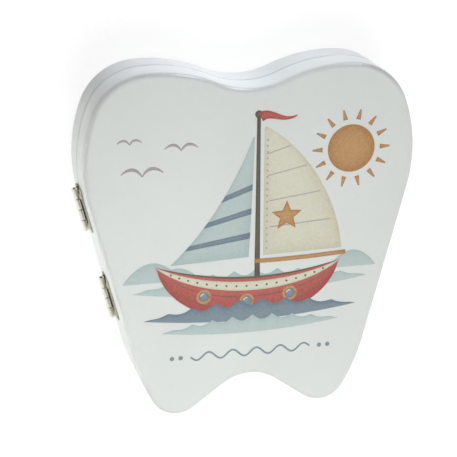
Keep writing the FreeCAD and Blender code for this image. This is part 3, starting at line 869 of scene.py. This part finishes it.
print_piece("hull", "coral", (hull_strip(0, 1, 15), 4, to_second))
print_piece("hull_stripe", "cream", (hull_strip(*STRIPE, 5), 5, to_rims))
print_piece("hull_rail", "brown", (hull_strip(*RAIL, 3), 5))
planks = [hull_strip(share, share + JOINT_WIDTH, 3) for share in PLANK_JOINTS]
print_piece("planks", "brown", *[(plank, 5) for plank in planks])
rivets = hull_line(RIVET_LINE)[4:-4:2]
print_piece("rivets", "brown", *[(disc(spot, RIVET_RADIUS, 0, 12), 6, None, True) for spot in rivets])

# %% The portholes
PORTHOLE_LINE, PORTHOLE_COLUMNS = 0.57, [12, 20, 28]
PORTHOLE_RADIUS, RING_RADIUS = 1.7, 2.6
GLINT, GLINT_WIDTH = np.array([(-1.1, 0.2), (-0.9, 0.8), (-0.5, 1.1), (0.2, 1.1)]), 0.4

portholes = hull_line(PORTHOLE_LINE)[PORTHOLE_COLUMNS]
rings = [disc(spot, RING_RADIUS, PORTHOLE_RADIUS) for spot in portholes]
print_piece("porthole_rings", "ochre", *[(ring, 6, to_rims, True) for ring in rings])
panes = [disc(spot, PORTHOLE_RADIUS) for spot in portholes]
print_piece("porthole_glass", "denim", *[(pane, 7, to_first, True) for pane in panes])
glints = [ribbon(bezier(*(spot + GLINT), count=9), GLINT_WIDTH) for spot in portholes]
print_piece("porthole_glints", "cream", *[(glint, 8) for glint in glints])

# %% [markdown]
# The mast and the boom are ribbons along a line. A sail is a surface between two curved edges, so its
# seams and bands are rows and columns of the same grid and lie on the cloth as sewn ones do.

# %% Mast and sails
MAST_WIDTHS, CAP_CENTRE, CAP_RADIUS, BOOM_WIDTH = (1.9, 1.2), (2, 44.6), 1.3, 1.5
SEAM_COLUMNS, SEAM_WIDTH = (8, 16, 24, 31), 0.35
EYELET_SHIFT, EYELET_RADIUS = 1.1, 0.34
BAND_COLUMNS, BAND_WIDTH = (6, 14, 22), 3

mast = bezier((2, -13), (2, 5), (2, 25), (2, 44))
print_piece("mast", "brown", (ribbon(mast, np.linspace(*MAST_WIDTHS, len(mast))), 3, to_rims),
            (disc(CAP_CENTRE, CAP_RADIUS), 4, to_first, True))
boom = bezier((1, -6.2), (12, -6.4), (24, -6), (33, -5.4))
print_piece("boom", "ochre", (ribbon(boom, BOOM_WIDTH), 5, to_rims))
luff = bezier((4, -4.3), (4, 12), (4, 26), (4, 40))
leech = bezier((31.5, -3.8), (30, 14), (19, 32), (4.6, 40.4))
mainsail = between(luff, leech, 13)
print_piece("mainsail", "cream", (mainsail, 4, to_rims))
sewn = [mainsail[1:-1, column] for column in SEAM_COLUMNS]
seams = [between(line, line + [0, SEAM_WIDTH], 3).swapaxes(0, 1) for line in sewn]
eyelets = [disc(spot + [EYELET_SHIFT, 0], EYELET_RADIUS, 0, 12) for spot in luff[2:-3:2]]
print_piece("sail_seams", "mauve", *[(seam, 5) for seam in seams],
            *[(eyelet, 5, None, True) for eyelet in eyelets])
jib_luff = bezier((-1, -4.5), (-0.2, 10), (0.3, 24), (0.7, 37))
jib = between(jib_luff, bezier((-28, -5.5), (-17, 4), (-6, 20), (0.2, 37)), 13)
print_piece("jib", "sea", (jib, 4, to_rims))
bands = [jib[:, column:column + BAND_WIDTH] for column in BAND_COLUMNS]
print_piece("jib_bands", "denim", *[(band, 5, to_rims) for band in bands])

# %% [markdown]
# The small motifs fill the sky: a pennant on the mast, a star on the sail, a sun with rays and three
# gulls. A wavy line with two dots at each end closes the picture below.
# They could be traced as curves, but a few named numbers are easier to change: the rays are short
# ribbons round the sun, and the gulls are one pair of wings at three sizes.

# %% Pennant, star and sun
STAR_WAIST = 0.45
SUN, SUN_RADIUS, RAY_COUNT = np.array((34, 31)), 8.2, 14
RAY_REACH, RAY_WIDTHS, RAY_STEPS = (10, 13.5), (1.7, 0.5), 6


def star(centre, radius, points=5):
    """Rays from a middle to a rim whose radius alternates between full and less than half."""
    turn = np.pi / 2 + np.arange(2 * points) * np.pi / points
    reach = np.where(np.arange(2 * points) % 2, STAR_WAIST, 1.0)[:, None] * radius
    return between(centre + reach * toward(turn), np.full((2 * points, 2), centre, float), 4)


pennant = bezier((2.6, 43.6), (6, 46), (10, 41), (15, 43.5), count=21)
print_piece("pennant", "coral", (ribbon(pennant, np.linspace(3.4, 0.4, len(pennant))), 5, to_rims))
print_piece("sail_star", "ochre", (star((12, 9), 5.5), 7, to_first, True))
rays = [ribbon(SUN + np.linspace(*RAY_REACH, RAY_STEPS)[:, None] * toward(angle),
               np.linspace(*RAY_WIDTHS, RAY_STEPS))
        for angle in np.linspace(0, 2 * np.pi, RAY_COUNT, endpoint=False)]
print_piece("sun", "ochre", (disc(SUN, SUN_RADIUS), 0, to_first, True),
            *[(ray, 0, to_rims) for ray in rays])

# %% Gulls and the line under the picture
GULLS = ((-37, 26, 7), (-24, 34, 5.5), (-41, 37, 4))
WING_EDGE, WING_SHARE = 0.3, 0.11
LINE_LEVEL, LINE_REACH, LINE_WAVE, LINE_PITCH, LINE_WIDTH = -39, 21, 1.3, 8.4, 0.62
DOT_REACHES, DOT_RADIUS = (24.5, 27.5), 0.8


def gull(x, y, span):
    """Two wings, each a narrow bent ribbon that is widest in its middle."""
    wing = bezier((0, 0), (0.25, 0.45), (0.6, 0.5), (1, 0.15)) * span
    width = WING_EDGE + WING_SHARE * span * np.sin(np.linspace(0, np.pi, len(wing)))
    return [ribbon(wing * [side, 1] + [x, y], width) for side in (-1, 1)]


wings = [wing for place in GULLS for wing in gull(*place)]
print_piece("gulls", "mauve", *[(wing, 1 + number % 2, to_rims) for number, wing in enumerate(wings)])
x = np.linspace(-LINE_REACH, LINE_REACH, 121)
ripple = np.stack([x, LINE_LEVEL + LINE_WAVE * np.sin(2 * np.pi * x / LINE_PITCH)], axis=-1)
dots = [disc((side * reach, LINE_LEVEL), DOT_RADIUS, 0, 16) for side in (-1, 1) for reach in DOT_REACHES]
print_piece("ripple", "denim", (ribbon(ripple, LINE_WIDTH), 0), *[(dot, 0, None, True) for dot in dots])

# %% [markdown]
# ## Floor, light and camera
#
# The box lies on a plain white floor. Light Path lets the floor look white to the camera and in
# reflections while it lights the box as ordinary white paint does; a share of diffuse keeps the shadow.
# The world is white to the camera too and lights the box only a little. Reflections see it as a room
# with bright walls and a dimmer ceiling.

# %% The floor
FLOOR_REACH, FLOOR_DROP = 3.0, 0.2 * MM
FLOOR_PAINT, FLOOR_GLOW, FLOOR_SHADE = 0.9, 0.88, 0.22


def grey(level):
    """A neutral colour of that brightness."""
    return (level, level, level, 1)


def seen_directly(tree):
    """1 for camera, glossy and transmission rays, and 0 for the diffuse rays that light the object."""
    path = add_node(tree, "LightPath")
    total = path.outputs["Is Camera Ray"]
    for ray in ("Is Glossy Ray", "Is Transmission Ray"):
        total = combine(tree, "MAXIMUM", total, path.outputs[ray])
    return total


def join_shaders(tree, kind, *parts):
    """A node that mixes or adds shaders; its sockets take the parts in their order."""
    node = add_node(tree, kind)
    for socket, part in zip(node.inputs, parts):
        tree.links.new(part, socket)
    return node.outputs[0]


def make_floor():
    """A square whose material is paint to the light and a glowing white to whatever sees it."""
    mesh = bpy.data.meshes.new("floor")
    corners = np.array([[-1, -1], [1, -1], [1, 1], [-1, 1]]) * FLOOR_REACH
    mesh.from_pydata([(x, y, -FLOOR_DROP) for x, y in corners.tolist()], [], [(0, 1, 2, 3)])
    material = bpy.data.materials.new("floor_white")
    material.use_nodes = True
    tree = material.node_tree
    tree.nodes.clear()
    paint = add_node(tree, "BsdfDiffuse", Color=grey(FLOOR_PAINT)).outputs[0]
    shade = add_node(tree, "BsdfDiffuse", Color=grey(FLOOR_SHADE)).outputs[0]
    glow = add_node(tree, "Emission", Strength=FLOOR_GLOW).outputs[0]
    white = join_shaders(tree, "AddShader", shade, glow)
    shown = join_shaders(tree, "MixShader", seen_directly(tree), paint, white)
    add_node(tree, "OutputMaterial", Surface=shown)
    mesh.materials.append(material)
    floor = bpy.data.objects.new("floor", mesh)
    bpy.context.scene.collection.objects.link(floor)
    floor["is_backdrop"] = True


make_floor()
print("floor:", 2 * FLOOR_REACH, "m wide,", round(FLOOR_DROP / MM, 2), "mm under the box")

# %% The world
WORLD_STRENGTH = 0.16
ROOM_WALLS, ROOM_CEILING = 1.0, 0.45
WALL_TOP, CEILING_EDGE = 0.6, 0.95


def make_world():
    """White to the camera, dim as a light, and in reflections a room.

    The room dims from the walls to the ceiling as the Z of a direction grows from the walls' top to
    the ceiling's edge.
    """
    world = bpy.data.worlds.new("studio")
    bpy.context.scene.world = world
    world.use_nodes = True
    tree = world.node_tree
    tree.nodes.clear()
    path = add_node(tree, "LightPath")
    direction = add_node(tree, "TexCoord").outputs["Generated"]
    height = add_node(tree, "SeparateXYZ", Vector=direction).outputs["Z"]
    room = spread(tree, height, ROOM_CEILING, ROOM_WALLS, CEILING_EDGE, WALL_TOP)
    light, mirrored, white = (add_node(tree, "Background", Color=grey(1), Strength=strength).outputs[0]
                              for strength in (WORLD_STRENGTH, room, 1.0))
    shown = light
    for ray, seen in {"Glossy": mirrored, "Transmission": white, "Camera": white}.items():
        shown = join_shaders(tree, "MixShader", path.outputs[f"Is {ray} Ray"], shown, seen)
    add_node(tree, "OutputWorld", Surface=shown)


make_world()
print("world:", bpy.context.scene.world.name, "of strength", WORLD_STRENGTH)

# %% [markdown]
# Three lamps stand at the crown, at the hinges and over the roots. The first two have narrow beams,
# because each has only one side of the box to light; the third is wide and lights the lid.
# The lamps at the hinges and over the roots are left out of reflections, so that the lacquer and
# the metal stay free of hard spots.

# %% Three lamps
# Each lamp has its place, its aim, its width in metres, its beam in degrees, its power and its tint.
LAMPS = {
    "crown_lamp": ((0.34, 0.75, 0.09), (-0.003, 0.058, 0.012), 0.06, 12, 0.0235, (0.88, 0.885, 1.0)),
    "hinge_lamp": ((-0.62, -0.56, 0.09), (-0.054, 0.007, 0.012), 0.06, 14, 0.0228, (1.0, 1.0, 0.98)),
    "root_lamp": ((0.05, -0.30, 0.54), (0.0, 0.0, 0.012), 0.36, 180, 2.82, (1.0, 1.0, 0.99)),
}
UNMIRRORED_LAMPS = ("hinge_lamp", "root_lamp")
for name, (place, aim, width, beam, power, tint) in LAMPS.items():
    lamp = bpy.data.lights.new(name, "AREA")
    lamp.shape, lamp.size, lamp.spread = "SQUARE", width, np.radians(beam)
    lamp.energy, lamp.color = power, tint
    holder = bpy.data.objects.new(name, lamp)
    holder.location = place
    ray = Vector(aim) - Vector(place)
    holder.rotation_euler = ray.to_track_quat("-Z", "Y").to_euler()
    holder.visible_glossy = name not in UNMIRRORED_LAMPS
    bpy.context.scene.collection.objects.link(holder)
    print(name, "shines from", round(ray.length, 2), "m away")

# %% [markdown]
# The camera looks down on the lid from beyond the crown's left end, so that the crown and the hinged
# flank show. A long lens from half a metre away keeps the perspective mild.

# %% The camera
CAMERA_PLACE = Vector((-135.02, 179.81, 510.37)) * MM
CAMERA_TARGET = Vector((-8.04, 6.097, 24.3)) * MM
CAMERA_UP = Vector((0.07659, 0.94508, -0.31775))
CAMERA_LENS, CAMERA_CLIP = 126.31, (0.01, 20)

camera_data = bpy.data.cameras.new("camera")
camera_data.lens = CAMERA_LENS
camera_data.clip_start, camera_data.clip_end = CAMERA_CLIP
camera = bpy.data.objects.new("camera", camera_data)
back = (CAMERA_PLACE - CAMERA_TARGET).normalized()
right = CAMERA_UP.cross(back).normalized()
turn = Matrix((right, back.cross(right), back)).transposed()
camera.matrix_world = Matrix.Translation(CAMERA_PLACE) @ turn.to_4x4()
bpy.context.scene.collection.objects.link(camera)
bpy.context.scene.camera = camera
bpy.context.scene.view_settings.view_transform = "Standard"
print("camera:", round((CAMERA_PLACE - CAMERA_TARGET).length, 3), "m away")

# %% [markdown]
# The finished box has to keep its real size, so the box round the looks is measured as well, beside the
# box of the solids.

# %% Sizes and the end
low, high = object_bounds()
